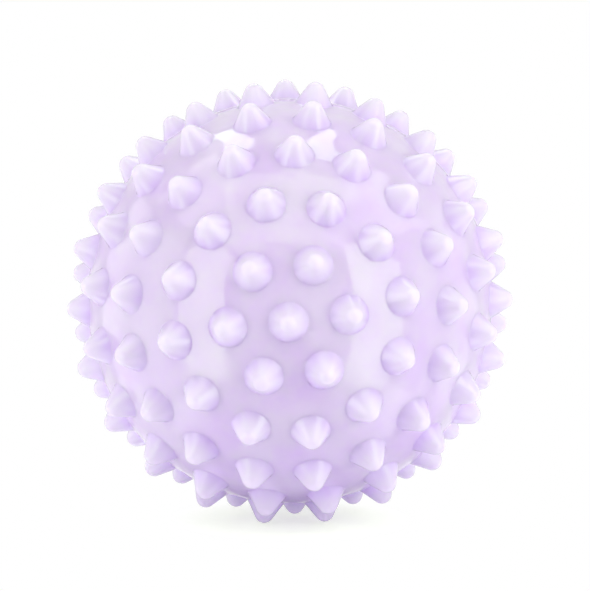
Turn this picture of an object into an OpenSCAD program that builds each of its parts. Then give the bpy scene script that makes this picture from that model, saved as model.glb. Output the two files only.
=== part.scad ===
// Sensory ball: a hollow ball of soft plastic with solid round-nosed spikes all over it, and an air
// valve at its rear pole. All sizes are in millimetres. The origin is the centre of the ball, +Z is
// up, and the spike at the front pole points along -Y.

/* [Skin] */
// Outside diameter of the ball, measured between the spikes
skin_d = 90.5; // [80:0.5:160]
// Thickness of the skin
skin_wall = 2; // [1.2:0.1:3]
// Height of the line that the mould's parting leaves round the middle
parting_h = 0.15; // [0.05:0.05:0.3]
// Width of the parting line
parting_w = 0.6; // [0.3:0.1:1]

/* [Spikes] */
// Rows of spikes between the front pole and the middle, and again behind it
half_rows = 5; // [4:1:5]
// Height of a spike above the skin
spike_h = 4.75; // [3.5:0.05:7]
// Radius of a spike's round nose
spike_nose_r = 2.2; // [1.4:0.05:2.5]
// Angle between a spike's flank and its axis, in degrees
spike_flank = 31; // [20:1:34]
// Radius of the fillet where a spike meets the skin
spike_fillet_r = 0.5; // [0.3:0.1:1.5]
// How far a spike's root reaches into the skin
spike_root = 0.8; // [0.5:0.1:1]

/* [Valve seat] */
// Diameter of the seat's face, which is flush with the skin
seat_d = 13; // [12:0.5:14]
// Diameter of the flange that holds the seat under the skin
seat_flange_d = 18; // [16:0.5:22]
// Thickness of the flange at its rim
seat_flange_t = 1.2; // [0.8:0.1:2]
// Outside diameter of the neck that reaches into the ball
neck_d = 8; // [7:0.5:10]
// Length of the neck, from the seat's face to its inner end
neck_l = 13; // [11:0.5:16]
// Diameter of the air passage through the neck
passage_d = 4.2; // [3.6:0.1:5]

/* [Valve plug] */
// Diameter of the plug's head
head_d = 8.6; // [7:0.1:9.5]
// Thickness of the plug's head at its rim
head_t = 1.2; // [0.8:0.1:1.6]
// How far the head stands out of the seat's face
head_proud = 0.3; // [0:0.1:0.5]
// Length of the stem below the head
stem_l = 11; // [8:0.5:12]
// Diameter of the stem between its ribs
stem_core_d = 3.2; // [2.6:0.1:3.4]
// Ribs round the stem
stem_ribs = 3; // [2:1:4]
// Length of one rib along the stem
rib_l = 1.2; // [0.8:0.1:1.5]

/* [Clearances] */
// Gap between the plug's ribs and the air passage, and under the plug's head
plug_gap = 0.05; // [0.02:0.01:0.1]
// Gap round the plug's head, in the recess that it sits in
recess_gap = 0.3; // [0.2:0.05:0.5]
// Gap between the seat and the skin that is moulded round it
seat_gap = 0.03; // [0.02:0.01:0.1]

/* [Hidden] */

ball_fn = 180;
spike_fn = 48;
valve_fn = 64;
skin_color = "#c9b4e4";
plug_color = "#e6dcf3";

// Half a turn over the steps from pole to pole puts all rows the same distance apart
row_step = 180 / (2 * half_rows + 1);
// Turn of each front row about the pole, in degrees from +X towards +Z
row_turns = [0, 6, 11, 3.3, 11.2, 1.3];
// A row holds as many spikes as keeps them about one row step apart
function row_count(row) = round(2 * (2 * half_rows + 1) * sin(row * row_step));
// The rear half mirrors the front half and is turned by half a step of the middle row
rear_turn = 180 / row_count(half_rows);

skin_r = skin_d / 2;
hollow_r = skin_r - skin_wall;
// Share of the root by which a foot is sunk, so that it cuts the ball's surface cleanly
sink_share = 0.1;
// Rounds are this share larger than a true touch, so that they cross the flank and don't graze it
cross_share = 1.001;

// Where the nose and the flank of a spike meet
flank_top_x = spike_nose_r * cos(spike_flank);
flank_top_y = spike_h - spike_nose_r + spike_nose_r * sin(spike_flank);
// The fillet ends this far from the spike's axis, just under the curved surface of the ball
foot_reach = flank_top_x + flank_top_y * tan(spike_flank) + spike_fillet_r * tan(45 - spike_flank / 2);
foot_y = sqrt(skin_r ^ 2 - foot_reach ^ 2) - skin_r - spike_root * sink_share;
// Centre of the fillet, which touches the flank and the skin
fillet_y = foot_y + spike_fillet_r;
fillet_x = flank_top_x
    + (spike_fillet_r + (flank_top_y - fillet_y) * sin(spike_flank)) / cos(spike_flank);
fillet_end = [fillet_x - spike_fillet_r * cos(spike_flank), fillet_y - spike_fillet_r * sin(spike_flank)];

// Heights along the valve's axis, from the centre of the ball
seat_r = seat_d / 2;
seat_flange_r = seat_flange_d / 2;
face_z = sqrt(skin_r ^ 2 - seat_r ^ 2);
flange_r = hollow_r - seat_gap;
flange_low_z = sqrt(flange_r ^ 2 - seat_flange_r ^ 2) - seat_flange_t;
neck_end_z = face_z - neck_l;
recess_depth = head_t - head_proud + plug_gap;
recess_r = head_d / 2 + recess_gap;
head_low_z = face_z + head_proud - head_t;
// The recess has a round notch on one side, half as wide as the rim there, for a fingernail
nail_r = (seat_r - recess_r) / 2;
// A cut runs past the face by this much
overrun = head_t;

passage_r = passage_d / 2;
rib_r = passage_r - plug_gap;
core_r = stem_core_d / 2;
head_r = head_d / 2;
head_edge = head_t / 3;
nose_l = rib_l;
nose_tip_r = core_r / 2;
rib_pitch = (stem_l - nose_l) / stem_ribs;

// Half outline of a spike, from its root in the skin to its nose
module spike_outline() {
    difference() {
        union() {
            intersection() {
                translate([0, spike_h - spike_nose_r])
                    circle(r = spike_nose_r * cross_share, $fn = spike_fn);
                square([foot_reach, spike_h * cross_share]);
            }
            polygon([
                [0, -spike_root],
                [fillet_x, -spike_root],
                [fillet_x, foot_y],
                fillet_end,
                [flank_top_x, flank_top_y],
                [0, spike_h - spike_nose_r]
            ]);
        }
        translate([fillet_x, fillet_y])
            circle(r = spike_fillet_r * cross_share, $fn = spike_fn);
    }
}

module spike() {
    translate([0, 0, skin_r])
        rotate_extrude($fn = spike_fn)
            spike_outline();
}

// Rows of spikes round the pole of one half, which points along +Z
module half_spikes(turn) {
    for (row = [1 : half_rows]) {
        count = row_count(row);
        for (i = [0 : count - 1])
            rotate([0, row * row_step, row_turns[row] + turn + i * 360 / count])
                spike();
    }
}

// A low ridge with a triangular section, whose base lies as deep in the skin as its top stands out
module parting_line() {
    rotate_extrude($fn = ball_fn)
        polygon([
            [skin_r - parting_h, -parting_w],
            [skin_r + parting_h, 0],
            [skin_r - parting_h, parting_w]
        ]);
}

// Turns +Z to point out of the front pole
module at_front() {
    rotate([90, 0, 0])
        children();
}

// Turns +Z to point out of the rear pole, along the valve's axis
module at_valve() {
    rotate([-90, 0, 0])
        children();
}

module ball_skin() {
    color(skin_color)
        difference() {
            union() {
                sphere(r = skin_r, $fn = ball_fn);
                at_front() {
                    spike();
                    half_spikes(0);
                    mirror([0, 0, 1])
                        half_spikes(rear_turn);
                    parting_line();
                }
            }
            sphere(r = hollow_r, $fn = ball_fn);
            at_valve()
                cylinder(h = skin_r, r = seat_r + seat_gap, $fn = valve_fn);
        }
}

module valve_seat() {
    color(skin_color)
        at_valve()
            difference() {
                union() {
                    translate([0, 0, flange_low_z])
                        cylinder(h = face_z - flange_low_z, r = seat_r, $fn = valve_fn);
                    intersection() {
                        translate([0, 0, flange_low_z])
                            cylinder(h = skin_r, r = seat_flange_r, $fn = valve_fn);
                        sphere(r = flange_r, $fn = ball_fn);
                    }
                    translate([0, 0, neck_end_z])
                        cylinder(h = neck_l, r = neck_d / 2, $fn = valve_fn);
                }
                translate([0, 0, neck_end_z - overrun])
                    cylinder(h = neck_l + 2 * overrun, r = passage_r, $fn = valve_fn);
                translate([0, 0, face_z - recess_depth])
                    cylinder(h = recess_depth + overrun, r = recess_r, $fn = valve_fn);
                translate([recess_r, 0, face_z - recess_depth])
                    cylinder(h = recess_depth + overrun, r = nail_r, $fn = valve_fn);
            }
}

// Half outline of the plug's stem, from its tip to the head, with square ribs that narrow inwards
function rib_points(i) = let (z = head_low_z - (i + 1) * rib_pitch)
    [[core_r, z], [rib_r, z + rib_l / 2], [rib_r, z + rib_l], [core_r, z + rib_l]];

module valve_plug() {
    tip_z = head_low_z - stem_l;
    color(plug_color)
        at_valve()
            rotate_extrude($fn = valve_fn)
                polygon(concat(
                    [[0, tip_z], [nose_tip_r, tip_z]],
                    [for (i = [stem_ribs - 1 : -1 : 0]) each rib_points(i)],
                    [
                        [core_r, head_low_z],
                        [head_r, head_low_z],
                        [head_r, head_low_z + head_t - head_edge],
                        [head_r - head_edge, head_low_z + head_t],
                        [0, head_low_z + head_t]
                    ]
                ));
}

ball_skin();
valve_seat();
valve_plug();
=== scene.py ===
import math

import bmesh
import bpy
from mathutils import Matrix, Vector


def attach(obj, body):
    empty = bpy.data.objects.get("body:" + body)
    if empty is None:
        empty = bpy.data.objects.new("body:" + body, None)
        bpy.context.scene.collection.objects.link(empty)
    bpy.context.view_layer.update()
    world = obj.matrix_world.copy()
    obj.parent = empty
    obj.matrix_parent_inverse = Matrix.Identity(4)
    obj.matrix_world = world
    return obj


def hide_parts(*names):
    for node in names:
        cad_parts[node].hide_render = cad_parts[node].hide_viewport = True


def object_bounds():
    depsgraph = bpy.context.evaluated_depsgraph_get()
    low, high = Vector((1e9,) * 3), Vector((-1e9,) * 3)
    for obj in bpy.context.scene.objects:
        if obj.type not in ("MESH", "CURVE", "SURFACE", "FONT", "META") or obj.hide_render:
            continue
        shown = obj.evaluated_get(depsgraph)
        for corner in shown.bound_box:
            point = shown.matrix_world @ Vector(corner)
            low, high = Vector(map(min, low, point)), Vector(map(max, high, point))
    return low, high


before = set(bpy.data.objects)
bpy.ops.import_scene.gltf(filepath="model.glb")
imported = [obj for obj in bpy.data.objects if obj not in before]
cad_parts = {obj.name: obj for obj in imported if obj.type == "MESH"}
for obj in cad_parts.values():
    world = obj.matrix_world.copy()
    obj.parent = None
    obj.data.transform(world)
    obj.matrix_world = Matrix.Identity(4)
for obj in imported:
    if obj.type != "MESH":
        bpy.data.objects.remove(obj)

cad_low, cad_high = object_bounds()
bpy.ops.object.select_all(action="DESELECT")

# The camera
# It stands twelve tip radii away, a little above the middle of the ball, and looks at the ball's
# centre. The small shift puts the ball where the photograph has it in its frame.
CAMERA_DISTANCE = 0.6
CAMERA_AZIMUTH = math.radians(0.34)
CAMERA_ELEVATION = math.radians(5.5)
SENSOR_WIDTH = 36.0
LENS = 163.1
SHIFT_X = 0.0088
SHIFT_Y = 0.0095
CLIP_START = 0.01

camera_direction = Vector((
    math.sin(CAMERA_AZIMUTH) * math.cos(CAMERA_ELEVATION),
    -math.cos(CAMERA_AZIMUTH) * math.cos(CAMERA_ELEVATION),
    math.sin(CAMERA_ELEVATION),
))
bpy.ops.object.camera_add(
    location=camera_direction * CAMERA_DISTANCE,
    rotation=camera_direction.to_track_quat("Z", "Y").to_euler(),
)
camera = bpy.context.object
camera.name = "camera"
camera.data.lens = LENS
camera.data.sensor_fit = "HORIZONTAL"
camera.data.sensor_width = SENSOR_WIDTH
camera.data.shift_x = SHIFT_X
camera.data.shift_y = SHIFT_Y
camera.data.clip_start = CLIP_START
bpy.context.scene.camera = camera

# The skin with its spikes
# One hollow moulding of soft, milky vinyl. Liquid vinyl is turned in a two-part mould until it coats
# the inside 2 mm thick and fills the pits for the spikes, so the spikes are solid. The mould's parting
# leaves a fine line round the middle, and the air valve is set in the skin at the rear pole.
SKIN_R = 0.04525
WALL = 0.002
SPIKE_H = 0.00475
NOSE_R = 0.0022
FLANK = math.radians(31)
FILLET_R = 0.0005
HALF_ROWS = 5
VALVE_HOLE_R = 0.00653
PARTING_W = 0.0006
PARTING_H = 0.00015
# Turn of each front row about the pole, in degrees from +X towards +Z
ROW_TURNS = [0, 6, 11, 3.3, 11.2, 1.3]
# How finely the ball, the spikes and the valve's hole are divided
BALL_SUBDIVISIONS = 6
SPIKE_SIDES = 24
FILLET_STEPS = 3
NOSE_STEPS = 5
VALVE_SIDES = 48
# The ball's own points keep this far from the feet of the spikes and from the valve's hole
CLEAR_OF_RING = 0.0011
# Points this near the middle plane lie on the top of the parting line
RIDGE_REACH = PARTING_W / 8
# Both rims of the valve's hole lie within this share of its radius, and above this share of the inner
# rim's height
RIM_SHARE = 1.02
RIM_HEIGHT_SHARE = 0.999
SMOOTH_ANGLE = math.radians(35)

row_step = math.pi / (2 * HALF_ROWS + 1)
rear_pole = Vector((0, 1, 0))


def row_count(row):
    """A row holds as many spikes as keeps them about one row step apart."""
    return round(2 * (2 * HALF_ROWS + 1) * math.sin(row * row_step))


def spike_axes():
    """The front pole's spike, then the rows of the front half, mirrored and turned for the rear."""
    axes = [Vector((0, -1, 0))]
    rear_turn = math.pi / row_count(HALF_ROWS)
    for side, turn in ((-1, 0), (1, rear_turn)):
        for row in range(1, HALF_ROWS + 1):
            count = row_count(row)
            for i in range(count):
                angle = math.radians(ROW_TURNS[row]) + turn + i * 2 * math.pi / count
                away = math.sin(row * row_step)
                axes.append(Vector((
                    away * math.cos(angle),
                    side * math.cos(row * row_step),
                    away * math.sin(angle),
                )))
    return axes


def spike_profile():
    """Radius and height of each ring of a spike, from its foot on the skin to the round nose."""
    flank_x = NOSE_R * math.cos(FLANK)
    flank_y = SPIKE_H - NOSE_R + NOSE_R * math.sin(FLANK)
    foot = flank_x + flank_y * math.tan(FLANK) + FILLET_R * math.tan(math.pi / 4 - FLANK / 2)
    foot_y = math.sqrt(SKIN_R ** 2 - foot ** 2) - SKIN_R
    fillet_y = foot_y + FILLET_R
    fillet_x = flank_x + (FILLET_R + (flank_y - fillet_y) * math.sin(FLANK)) / math.cos(FLANK)
    rings = [(fillet_x, foot_y)]
    for step in range(1, FILLET_STEPS + 1):
        turn = (math.pi / 2 - FLANK) * step / FILLET_STEPS
        rings.append((fillet_x - FILLET_R * math.sin(turn), fillet_y - FILLET_R * math.cos(turn)))
    for step in range(NOSE_STEPS):
        turn = FLANK + (math.pi / 2 - FLANK) * step / NOSE_STEPS
        rings.append((NOSE_R * math.cos(turn), SPIKE_H - NOSE_R + NOSE_R * math.sin(turn)))
    return rings


def select_where(mesh, test, kind):
    """Selects the mesh's verts, edges or faces that pass a test of their middle, and nothing else."""
    bpy.ops.mesh.select_all(action="DESELECT")
    bpy.ops.mesh.select_mode(type=kind)
    shape = bmesh.from_edit_mesh(mesh)
    parts = {"VERT": shape.verts, "EDGE": shape.edges, "FACE": shape.faces}[kind]
    for part in parts:
        if kind == "VERT":
            middle = part.co
        elif kind == "EDGE":
            middle = (part.verts[0].co + part.verts[1].co) / 2
        else:
            middle = part.calc_center_median()
        if test(middle):
            part.select_set(True)
    shape.select_flush_mode()
    bmesh.update_edit_mesh(mesh)


def add_ring(axis, radius, sides):
    """A bare circle of that radius, lying on the skin round an axis through the ball's centre."""
    bpy.ops.mesh.primitive_circle_add(
        vertices=sides,
        radius=radius,
        fill_type="NOTHING",
        location=axis * math.sqrt(SKIN_R ** 2 - radius ** 2),
        rotation=axis.to_track_quat("Z", "Y").to_euler(),
    )


axes = spike_axes()
rings = spike_profile()
foot_r = rings[0][0]
crowded = [(axis, foot_r) for axis in axes] + [(rear_pole, VALVE_HOLE_R)]


def along_skin(place, axis):
    """How far a place on the skin lies from where an axis comes out, measured along the skin."""
    return place.normalized().angle(axis) * SKIN_R


def in_a_ring(place, spare):
    """Whether a place on the skin lies in a spike's foot or the valve's hole, or nearer than spare."""
    return any(along_skin(place, axis) < radius + spare for axis, radius in crowded)


# The ball is a fine sphere that is cleared where spikes and the valve go, and then drawn tight
# over the rings of their feet.
bpy.ops.mesh.primitive_ico_sphere_add(subdivisions=BALL_SUBDIVISIONS, radius=SKIN_R)
skin = bpy.context.object
skin.name = "soft_skin"
skin_mesh = skin.data
bpy.ops.object.mode_set(mode="EDIT")
select_where(skin_mesh, lambda place: in_a_ring(place, CLEAR_OF_RING), "VERT")
bpy.ops.mesh.delete(type="VERT")
bpy.ops.mesh.select_all(action="SELECT")
bpy.ops.mesh.delete(type="EDGE_FACE")
for axis, radius in crowded:
    add_ring(axis, radius, VALVE_SIDES if axis == rear_pole else SPIKE_SIDES)
bpy.ops.mesh.select_all(action="SELECT")
bpy.ops.mesh.convex_hull(use_existing_faces=False, join_triangles=False)
select_where(skin_mesh, lambda place: in_a_ring(place, 0), "FACE")
bpy.ops.mesh.dissolve_faces()

# The parting line is cut round the middle, and its top is drawn out a little.
for offset in (-PARTING_W / 2, 0, PARTING_W / 2):
    bpy.ops.mesh.select_all(action="SELECT")
    bpy.ops.mesh.bisect(plane_co=rear_pole * offset, plane_no=rear_pole)
bpy.ops.object.mode_set(mode="OBJECT")
cast = skin.modifiers.new("true_sphere", "CAST")
cast.cast_type = "SPHERE"
cast.factor = 1
cast.use_radius_as_size = False
cast.size = SKIN_R
bpy.ops.object.modifier_apply(modifier=cast.name)
bpy.ops.object.mode_set(mode="EDIT")
select_where(skin_mesh, lambda place: abs(place.y) < RIDGE_REACH, "VERT")
swell = (SKIN_R + PARTING_H) / SKIN_R
bpy.ops.transform.resize(value=(swell, 1, swell), center_override=(0, 0, 0))

# Every foot is drawn out into a spike, ring by ring, and closed at the nose.
select_where(
    skin_mesh,
    lambda place: in_a_ring(place, -CLEAR_OF_RING) and along_skin(place, rear_pole) > foot_r,
    "FACE",
)
apothem_share = math.cos(math.pi / SPIKE_SIDES)
for (radius, height), (next_radius, next_height) in zip(rings, rings[1:]):
    bpy.ops.mesh.inset(
        use_individual=True,
        use_even_offset=True,
        thickness=(radius - next_radius) * apothem_share,
        depth=next_height - height,
    )
bpy.ops.mesh.poke(offset=SPIKE_H - rings[-1][1])

# The hollow's wall is a second sphere, open at the valve and joined to the rim of its hole.
select_where(skin_mesh, lambda place: along_skin(place, rear_pole) < foot_r, "FACE")
bpy.ops.mesh.delete(type="ONLY_FACE")
hollow_r = SKIN_R - WALL
bpy.ops.mesh.primitive_uv_sphere_add(
    segments=VALVE_SIDES,
    ring_count=VALVE_SIDES // 2,
    radius=hollow_r,
    rotation=(math.radians(90), 0, 0),
)
bpy.ops.mesh.flip_normals()
rim_y = math.sqrt(hollow_r ** 2 - VALVE_HOLE_R ** 2)
bpy.ops.mesh.bisect(plane_co=rear_pole * rim_y, plane_no=rear_pole, clear_outer=True)


def on_a_rim(place):
    """Whether a place lies on the outer or the inner rim of the valve's hole."""
    from_axis = (place - rear_pole * place.y).length
    return from_axis < VALVE_HOLE_R * RIM_SHARE and place.y > rim_y * RIM_HEIGHT_SHARE


select_where(skin_mesh, on_a_rim, "EDGE")
bpy.ops.mesh.bridge_edge_loops()
bpy.ops.object.mode_set(mode="OBJECT")
bpy.ops.object.shade_smooth_by_angle(angle=SMOOTH_ANGLE)

# The vinyl varies at random in soft clouds, and its colour is painted paler up the spikes: painted light
# for the light that the solid spikes scatter back and the thin wall loses into the hollow.
SKIN_COLOUR = (0.69, 0.585, 0.85, 1)
SKIN_DEEP = (0.67, 0.525, 0.885, 1)
SPIKE_PAINTED_PALE = (0.695, 0.635, 0.795, 1)
CLOUDS_PER_M = 90
CLOUD_DETAIL = 3
CLOUD_FROM = 0.35
CLOUD_TO = 0.6
# A spike's painted paleness is full from this share of its height
PALE_SHARE = 0.7
RIPPLES_PER_M = 160
RIPPLE_DETAIL = 2
RIPPLE_STRENGTH = 0.5
RIPPLE_DEPTH = 0.0002
SKIN_ROUGHNESS = 0.06
SPIKE_ROUGHNESS = 0.24
VINYL_IOR = 1.55
VINYL_SCATTER = (1.0, 0.8, 1.0)
SCATTER_DEPTH = 0.004


def feed(tree, node, inputs):
    """Gives each of a node's inputs its value, or the output that drives it."""
    for socket, value in inputs.items():
        if isinstance(value, bpy.types.NodeSocket):
            tree.links.new(value, node.inputs[socket])
        else:
            node.inputs[socket].default_value = value


def add_node(tree, kind, inputs, **options):
    """Adds a shader node, sets its options and feeds its inputs."""
    node = tree.nodes.new("ShaderNode" + kind)
    for option, value in options.items():
        setattr(node, option, value)
    feed(tree, node, inputs)
    return node


skin_material = bpy.data.materials.new("milky_vinyl")
skin_material.use_nodes = True
skin_tree = skin_material.node_tree
skin_place = add_node(skin_tree, "TexCoord", {})
from_centre = add_node(skin_tree, "VectorMath", {0: skin_place.outputs["Object"]}, operation="LENGTH")
# How high above the skin a point lies, as a share of a spike's height. It drives the spikes' painted
# paleness and their rougher finish.
thickness = add_node(skin_tree, "MapRange", {
    "Value": from_centre.outputs["Value"],
    "From Min": SKIN_R,
    "From Max": SKIN_R + SPIKE_H * PALE_SHARE,
}, interpolation_type="SMOOTHSTEP")
skin_cloud = add_node(skin_tree, "TexNoise", {
    "Vector": skin_place.outputs["Object"],
    "Scale": CLOUDS_PER_M,
    "Detail": CLOUD_DETAIL,
})
cloud_spread = add_node(skin_tree, "MapRange", {
    "Value": skin_cloud.outputs["Fac"],
    "From Min": CLOUD_FROM,
    "From Max": CLOUD_TO,
})
wall_tone = add_node(skin_tree, "Mix", {
    "Factor": cloud_spread.outputs["Result"],
    "A": SKIN_DEEP,
    "B": SKIN_COLOUR,
}, data_type="RGBA")
# Painted light: the colour turns paler up the spikes, for the light their solid vinyl scatters back.
spike_painted_light = add_node(skin_tree, "Mix", {
    "Factor": thickness.outputs["Result"],
    "A": wall_tone.outputs["Result"],
    "B": SPIKE_PAINTED_PALE,
}, data_type="RGBA")
skin_ripple = add_node(skin_tree, "TexNoise", {
    "Vector": skin_place.outputs["Object"],
    "Scale": RIPPLES_PER_M,
    "Detail": RIPPLE_DETAIL,
})
skin_relief = add_node(skin_tree, "Bump", {
    "Strength": RIPPLE_STRENGTH,
    "Distance": RIPPLE_DEPTH,
    "Height": skin_ripple.outputs["Fac"],
})
gloss = add_node(skin_tree, "MapRange", {
    "Value": thickness.outputs["Result"],
    "To Min": SKIN_ROUGHNESS,
    "To Max": SPIKE_ROUGHNESS,
})
feed(skin_tree, skin_tree.nodes["Principled BSDF"], {
    "Base Color": spike_painted_light.outputs["Result"],
    "Normal": skin_relief.outputs["Normal"],
    "Roughness": gloss.outputs["Result"],
    "IOR": VINYL_IOR,
    "Subsurface Weight": 1,
    "Subsurface Radius": VINYL_SCATTER,
    "Subsurface Scale": SCATTER_DEPTH,
})
skin.data.materials.append(skin_material)
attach(skin, "ball")
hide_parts("ball_skin")

# The valve seat
# A collar of the same vinyl, moulded first and set in the mould, so the skin grips its flange. Its face
# lies flush with the skin, sunk in the middle for the plug's head, and its bored neck reaches inside.
SEAT_GAP = 0.00003
SEAT_R = VALVE_HOLE_R - SEAT_GAP
FACE_Y = math.sqrt(SKIN_R ** 2 - SEAT_R ** 2)
FLANGE_R = 0.009
FLANGE_T = 0.0012
NECK_R = 0.004
NECK_L = 0.013
PASSAGE_R = 0.0021
HEAD_R = 0.0043
HEAD_T = 0.0012
HEAD_PROUD = 0.0003
RECESS_GAP = 0.0003
PLUG_GAP = 0.00005
VALVE_TURNS = 64
NOTCH_SIDES = 32
# Points of an outline that come this close together are one
SAME_POINT = 0.00001
SOFT_EDGE = 0.00015
EDGE_STEPS = 3
SHARP_ANGLE = math.radians(40)


def turned(name, outline, solid=False):
    """A piece turned about the valve's axis from the radius and height of each point of its outline."""
    bpy.ops.object.select_all(action="DESELECT")
    radius, height = outline[0]
    bpy.ops.mesh.primitive_circle_add(
        vertices=VALVE_TURNS,
        radius=radius,
        fill_type="NGON" if solid else "NOTHING",
        rotation=(math.radians(-90), 0, 0),
    )
    piece = bpy.context.object
    piece.name = name
    bpy.ops.object.transform_apply(location=True, rotation=True, scale=True)
    bpy.ops.object.mode_set(mode="EDIT")
    bpy.ops.mesh.select_all(action="SELECT")
    bpy.ops.transform.translate(value=(0, height, 0))
    for next_radius, next_height in outline[1:]:
        bpy.ops.mesh.extrude_region_move(TRANSFORM_OT_translate={"value": (0, next_height - height, 0)})
        scale = next_radius / radius
        bpy.ops.transform.resize(value=(scale, 1, scale), center_override=(0, next_height, 0))
        radius, height = next_radius, next_height
    bpy.ops.mesh.select_all(action="SELECT")
    bpy.ops.mesh.remove_doubles(threshold=SAME_POINT)
    bpy.ops.mesh.normals_make_consistent(inside=False)
    bpy.ops.object.mode_set(mode="OBJECT")
    return piece


def round_edges(piece):
    """Rounds a piece's edges, as they come out of a mould."""
    bevel = piece.modifiers.new("soft_edges", "BEVEL")
    bevel.width = SOFT_EDGE
    bevel.segments = EDGE_STEPS
    bevel.limit_method = "ANGLE"
    bevel.angle_limit = SHARP_ANGLE
    bpy.context.view_layer.objects.active = piece
    bpy.ops.object.modifier_apply(modifier=bevel.name)
    bpy.ops.object.shade_smooth_by_angle(angle=SMOOTH_ANGLE)


recess_r = HEAD_R + RECESS_GAP
recess_y = FACE_Y - (HEAD_T - HEAD_PROUD + PLUG_GAP)
flange_top = hollow_r - SEAT_GAP
flange_rim_y = math.sqrt(flange_top ** 2 - FLANGE_R ** 2)
flange_in_y = math.sqrt(flange_top ** 2 - SEAT_R ** 2)
flange_low_y = flange_rim_y - FLANGE_T
seat = turned("set_in_collar", [
    (PASSAGE_R, FACE_Y - NECK_L),
    (NECK_R, FACE_Y - NECK_L),
    (NECK_R, flange_low_y),
    (FLANGE_R, flange_low_y),
    (FLANGE_R, flange_rim_y),
    (SEAT_R, flange_in_y),
    (SEAT_R, FACE_Y),
    (recess_r, FACE_Y),
    (recess_r, recess_y),
    (PASSAGE_R, recess_y),
    (PASSAGE_R, FACE_Y - NECK_L),
])

# A round notch beside the recess lets a fingernail under the plug's head.
notch_r = (SEAT_R - recess_r) / 2
notch_depth = FACE_Y - recess_y
bpy.ops.object.select_all(action="DESELECT")
bpy.ops.mesh.primitive_cylinder_add(
    vertices=NOTCH_SIDES,
    radius=notch_r,
    depth=notch_depth * 2,
    location=(recess_r, FACE_Y, 0),
    rotation=(math.radians(90), 0, 0),
)
notch = bpy.context.object
bpy.context.view_layer.objects.active = seat
nail_cut = seat.modifiers.new("nail_notch", "BOOLEAN")
nail_cut.operation = "DIFFERENCE"
nail_cut.solver = "EXACT"
nail_cut.object = notch
bpy.ops.object.modifier_apply(modifier=nail_cut.name)
bpy.data.objects.remove(notch)
round_edges(seat)

SEAT_COLOUR = (0.58, 0.47, 0.73, 1)
SEAT_GRAINS_PER_M = 500
SEAT_GRAIN_DEPTH = 0.00004
SEAT_ROUGHNESS = 0.3
SEAT_MILKINESS = 0.6
SEAT_SCATTER_DEPTH = SCATTER_DEPTH / 2
GRAIN_STRENGTH = 0.3


def grained_plastic(name, deep, pale, grains_per_m, grain_depth, surface):
    """A satin plastic with a fine grain in its colour and relief. The surface gives its other looks."""
    material = bpy.data.materials.new(name)
    material.use_nodes = True
    tree = material.node_tree
    place = add_node(tree, "TexCoord", {})
    grain = add_node(tree, "TexNoise", {"Vector": place.outputs["Object"], "Scale": grains_per_m})
    tone = add_node(tree, "Mix", {
        "Factor": grain.outputs["Fac"],
        "A": deep,
        "B": pale,
    }, data_type="RGBA")
    relief = add_node(tree, "Bump", {
        "Strength": GRAIN_STRENGTH,
        "Distance": grain_depth,
        "Height": grain.outputs["Fac"],
    })
    shader = tree.nodes["Principled BSDF"]
    feed(tree, shader, {"Base Color": tone.outputs["Result"], "Normal": relief.outputs["Normal"]})
    feed(tree, shader, surface)
    return material


seat.data.materials.append(grained_plastic(
    "collar_vinyl", SEAT_COLOUR, SKIN_COLOUR, SEAT_GRAINS_PER_M, SEAT_GRAIN_DEPTH,
    surface={
        "Roughness": SEAT_ROUGHNESS,
        "Subsurface Weight": SEAT_MILKINESS,
        "Subsurface Radius": VINYL_SCATTER,
        "Subsurface Scale": SEAT_SCATTER_DEPTH,
    },
))
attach(seat, "ball")
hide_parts("valve_seat")

# The valve plug
# A push-in plug of firmer pale plastic, moulded in one shot. Its dished head fills the collar's recess,
# and the square ribs of its stem grip the passage and keep the air in.
STEM_L = 0.011
STEM_R = 0.0016
TIP_R = STEM_R / 2
RIBS = 3
RIB_L = 0.0012
HEAD_CHAMFER = HEAD_T / 3
DISH_R = 0.0028
DISH_DEPTH = 0.00025
PLUG_COLOUR = (0.84, 0.80, 0.90, 1)
PLUG_DEEP = (0.78, 0.72, 0.87, 1)
PLUG_GRAINS_PER_M = 900
PLUG_GRAIN_DEPTH = 0.00003
PLUG_ROUGHNESS = 0.38
PLUG_MILKINESS = 0.3
PLUG_SCATTER = (1.0, 0.9, 1.0)
PLUG_SCATTER_DEPTH = SCATTER_DEPTH / 4

rib_r = PASSAGE_R - PLUG_GAP
head_low_y = FACE_Y + HEAD_PROUD - HEAD_T
head_top_y = head_low_y + HEAD_T
tip_y = head_low_y - STEM_L
rib_pitch = (STEM_L - RIB_L) / RIBS
plug_outline = [(TIP_R, tip_y)]
for rib in range(RIBS, 0, -1):
    rib_y = head_low_y - rib * rib_pitch
    plug_outline += [
        (STEM_R, rib_y),
        (rib_r, rib_y + RIB_L / 2),
        (rib_r, rib_y + RIB_L),
        (STEM_R, rib_y + RIB_L),
    ]
plug_outline += [
    (STEM_R, head_low_y),
    (HEAD_R, head_low_y),
    (HEAD_R, head_top_y - HEAD_CHAMFER),
    (HEAD_R - HEAD_CHAMFER, head_top_y),
    (DISH_R, head_top_y),
    (DISH_R - DISH_DEPTH, head_top_y - DISH_DEPTH),
]
plug = turned("push_in_plug", plug_outline, solid=True)
round_edges(plug)

plug.data.materials.append(grained_plastic(
    "plug_plastic", PLUG_DEEP, PLUG_COLOUR, PLUG_GRAINS_PER_M, PLUG_GRAIN_DEPTH,
    surface={
        "Roughness": PLUG_ROUGHNESS,
        "Subsurface Weight": PLUG_MILKINESS,
        "Subsurface Radius": PLUG_SCATTER,
        "Subsurface Scale": PLUG_SCATTER_DEPTH,
    },
))
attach(plug, "plug")
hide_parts("valve_plug")
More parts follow.
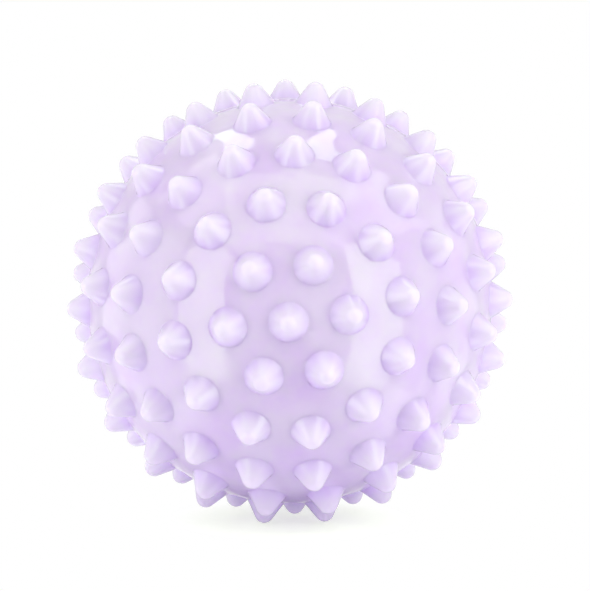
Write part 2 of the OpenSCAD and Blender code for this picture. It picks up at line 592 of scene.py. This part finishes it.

# The floor
# A wide white surface that stays white to the camera and still takes the ball's shadow. To the ball's
# gloss it is a polished white top, in which the light panels carry on downwards. Its shine is painted
# weaker in front of and under the ball, where it would otherwise mirror the lamps above the camera:
# painted shade for the floor lying in the ball's shadow there.
FLOOR_SIZE = 8
FLOOR_WHITE = (0.88, 1.0, 0.73, 1)
FLOOR_GLOW = 0.42
GLOW_TINT = (1.0, 1.015, 0.975, 1)
FLOOR_TINT = (0.90, 0.90, 0.92, 1)
FLOOR_BOUNCE = 0.31
FLOOR_ROUGHNESS = 0.15
# The shadow fades between these distances from the middle, and the floor is plain white beyond
SHADOW_REACH = 0.016
SHADOW_END = 0.027
# Painted shade in the floor's gloss: the sheen grows with the distance to the side, or to the rear of a
# line this far in front of the ball's middle
SHEEN_LINE = 0.035
SHEEN_START = 0.02
SHEEN_END = 0.06
SHEEN_FRONT = 0.15
SHEEN_AROUND = 1

bpy.ops.object.select_all(action="DESELECT")
bpy.ops.mesh.primitive_plane_add(size=FLOOR_SIZE, location=(0, 0, cad_low.z))
floor = bpy.context.object
floor.name = "floor"
floor_material = bpy.data.materials.new("white_floor")
floor_material.use_nodes = True
floor_tree = floor_material.node_tree
floor_tree.nodes.remove(floor_tree.nodes["Principled BSDF"])
floor_place = add_node(floor_tree, "TexCoord", {})

# What the camera sees: the shadow in the middle, and plain white around it.
floor_matt = add_node(floor_tree, "BsdfDiffuse", {"Color": FLOOR_WHITE})
floor_glow = add_node(floor_tree, "Emission", {"Color": GLOW_TINT, "Strength": FLOOR_GLOW})
floor_near = add_node(floor_tree, "AddShader", {0: floor_matt.outputs[0], 1: floor_glow.outputs[0]})
floor_white = add_node(floor_tree, "Emission", {"Strength": 1})
floor_way = add_node(floor_tree, "VectorMath", {0: floor_place.outputs["Object"]}, operation="LENGTH")
past_shadow = add_node(floor_tree, "MapRange", {
    "Value": floor_way.outputs["Value"],
    "From Min": SHADOW_REACH,
    "From Max": SHADOW_END,
}, interpolation_type="SMOOTHSTEP")
floor_seen = add_node(floor_tree, "MixShader", {
    "Fac": past_shadow.outputs["Result"],
    1: floor_near.outputs[0],
    2: floor_white.outputs[0],
})

# What lights the ball from below.
floor_tinted = add_node(floor_tree, "BsdfDiffuse", {"Color": FLOOR_TINT})
floor_bounce = add_node(floor_tree, "Emission", {"Color": FLOOR_TINT, "Strength": FLOOR_BOUNCE})
floor_lights = add_node(floor_tree, "AddShader", {0: floor_tinted.outputs[0], 1: floor_bounce.outputs[0]})

# What the ball's gloss mirrors, with painted shade in front of and under the ball.
floor_sides = add_node(floor_tree, "SeparateXYZ", {0: floor_place.outputs["Object"]})
floor_aside = add_node(floor_tree, "Math", {0: floor_sides.outputs["X"]}, operation="ABSOLUTE")
floor_behind = add_node(floor_tree, "Math", {0: floor_sides.outputs["Y"], 1: SHEEN_LINE}, operation="ADD")
floor_away = add_node(floor_tree, "Math", {
    0: floor_aside.outputs[0],
    1: floor_behind.outputs[0],
}, operation="MAXIMUM")
# Painted shade: the sheen is weakest in front of the ball and weaker under it, standing in for the ball's
# shadow on the floor.
sheen_with_painted_shade = add_node(floor_tree, "MapRange", {
    "Value": floor_away.outputs[0],
    "From Min": SHEEN_START,
    "From Max": SHEEN_END,
    "To Min": SHEEN_FRONT,
    "To Max": SHEEN_AROUND,
})
floor_polish = add_node(floor_tree, "BsdfGlossy", {
    "Color": sheen_with_painted_shade.outputs["Result"],
    "Roughness": FLOOR_ROUGHNESS,
})

floor_rays = add_node(floor_tree, "LightPath", {})
camera_or_not = add_node(floor_tree, "MixShader", {
    "Fac": floor_rays.outputs["Is Camera Ray"],
    1: floor_lights.outputs[0],
    2: floor_seen.outputs[0],
})
glossy_or_not = add_node(floor_tree, "MixShader", {
    "Fac": floor_rays.outputs["Is Glossy Ray"],
    1: camera_or_not.outputs[0],
    2: floor_polish.outputs[0],
})
feed(floor_tree, floor_tree.nodes["Material Output"], {"Surface": glossy_or_not.outputs[0]})
floor.data.materials.append(floor_material)

# The studio's light
# A dim white room lights the ball evenly, and is plain white to the camera and in gloss. Soft panels
# stand to the left and right of the camera and behind the ball, hang above the camera and high at both
# sides, and two small windows in the ceiling behind the ball give the sharp lights near its top.
WHITE = (1, 1, 1, 1)
ROOM_LIGHT = 0.1
PANEL_DISTANCE = 0.7
PANEL_RADIANCE = 2.95
LEFT_SIDE_RADIANCE = 0.9
RIGHT_SIDE_RADIANCE = 0.54
TOP_RADIANCE = 1.6
LEFT_HIGH_RADIANCE = 1.35
RIGHT_HIGH_RADIANCE = 1.8
CEILING_RADIANCE = 0.3
BACK_RADIANCE = 0.65
WINDOW_RADIANCE = 3.3
PANEL_TINT = (0.985, 1.0, 0.935)
WINDOW_TINT = (0.80, 1.0, 0.78)
SHINE_TINT = (0.80, 1.04, 0.52)
SHINE_NEARER = 0.98

world = bpy.data.worlds.new("studio")
bpy.context.scene.world = world
world.use_nodes = True
world_tree = world.node_tree
room = world_tree.nodes["Background"]
feed(world_tree, room, {"Color": WHITE, "Strength": ROOM_LIGHT})
room_white = add_node(world_tree, "Background", {"Color": WHITE, "Strength": 1})
world_rays = add_node(world_tree, "LightPath", {})
seen_or_mirrored = add_node(world_tree, "Math", {
    0: world_rays.outputs["Is Camera Ray"],
    1: world_rays.outputs["Is Glossy Ray"],
}, operation="MAXIMUM")
or_through_glass = add_node(world_tree, "Math", {
    0: seen_or_mirrored.outputs[0],
    1: world_rays.outputs["Is Transmission Ray"],
}, operation="MAXIMUM")
room_mix = add_node(world_tree, "MixShader", {
    "Fac": or_through_glass.outputs[0],
    1: room.outputs[0],
    2: room_white.outputs[0],
})
feed(world_tree, world_tree.nodes["World Output"], {"Surface": room_mix.outputs[0]})


def add_panel(name, azimuth, elevation, width, height, radiance, upright=False):
    """A soft panel seen from the ball at that azimuth, right of the camera, and elevation in degrees.

    It faces the ball's centre, or stands upright.
    """
    turn = math.radians(azimuth)
    lift = math.radians(elevation)
    way = Vector((math.sin(turn) * math.cos(lift), -math.cos(turn) * math.cos(lift), math.sin(lift)))
    facing = Vector((math.sin(turn), -math.cos(turn), 0)) if upright else way
    bpy.ops.object.light_add(
        type="AREA",
        location=way * PANEL_DISTANCE,
        rotation=facing.to_track_quat("Z", "Y").to_euler(),
    )
    panel = bpy.context.object
    panel.name = name
    panel.data.shape = "RECTANGLE"
    panel.data.size = width
    panel.data.size_y = height
    panel.data.energy = radiance * math.pi * width * height
    panel.data.color = PANEL_TINT
    panel.visible_camera = False
    return panel


left_panel = add_panel(
    "left_panel",
    azimuth=-49, elevation=14, width=0.31, height=0.46, radiance=PANEL_RADIANCE, upright=True,
)
right_panel = add_panel(
    "right_panel",
    azimuth=50, elevation=16, width=0.36, height=0.50, radiance=PANEL_RADIANCE, upright=True,
)
add_panel(
    "left_side",
    azimuth=-95, elevation=14, width=0.90, height=0.46, radiance=LEFT_SIDE_RADIANCE, upright=True,
)
add_panel(
    "right_side",
    azimuth=95, elevation=14, width=0.90, height=0.46, radiance=RIGHT_SIDE_RADIANCE, upright=True,
)
top_panel = add_panel(
    "top_panel",
    azimuth=0, elevation=58, width=0.80, height=0.52, radiance=TOP_RADIANCE,
)
add_panel(
    "left_high",
    azimuth=-88, elevation=50, width=0.50, height=0.32, radiance=LEFT_HIGH_RADIANCE,
)
add_panel(
    "right_high",
    azimuth=74, elevation=46, width=0.56, height=0.36, radiance=RIGHT_HIGH_RADIANCE,
)
add_panel(
    "ceiling",
    azimuth=180, elevation=62, width=0.80, height=0.55, radiance=CEILING_RADIANCE,
)
back_panel = add_panel(
    "back_panel",
    azimuth=180, elevation=8, width=1.2, height=0.5, radiance=BACK_RADIANCE, upright=True,
)
back_panel.visible_glossy = False
left_window = add_panel(
    "left_window",
    azimuth=213, elevation=58, width=0.13, height=0.32, radiance=WINDOW_RADIANCE,
)
right_window = add_panel(
    "right_window",
    azimuth=151, elevation=67, width=0.10, height=0.44, radiance=WINDOW_RADIANCE,
)

# Both windows lie flat in the ceiling.
for window in (left_window, right_window):
    window.rotation_euler = (0, 0, 0)
    window.data.color = WINDOW_TINT

# The three panels nearest the camera light the skin but don't show in its gloss. A twin of each does,
# in a less blue light, and stands a little nearer, as a light at the very same place would be lost.
for panel in (left_panel, right_panel, top_panel):
    shine = panel.copy()
    shine.data = panel.data.copy()
    shine.name = panel.name + "_shine"
    shine.data.color = SHINE_TINT
    shine.location = panel.location * SHINE_NEARER
    shine.visible_diffuse = False
    panel.visible_glossy = False
    bpy.context.collection.objects.link(shine)

bpy.context.scene.view_settings.view_transform = "Standard"
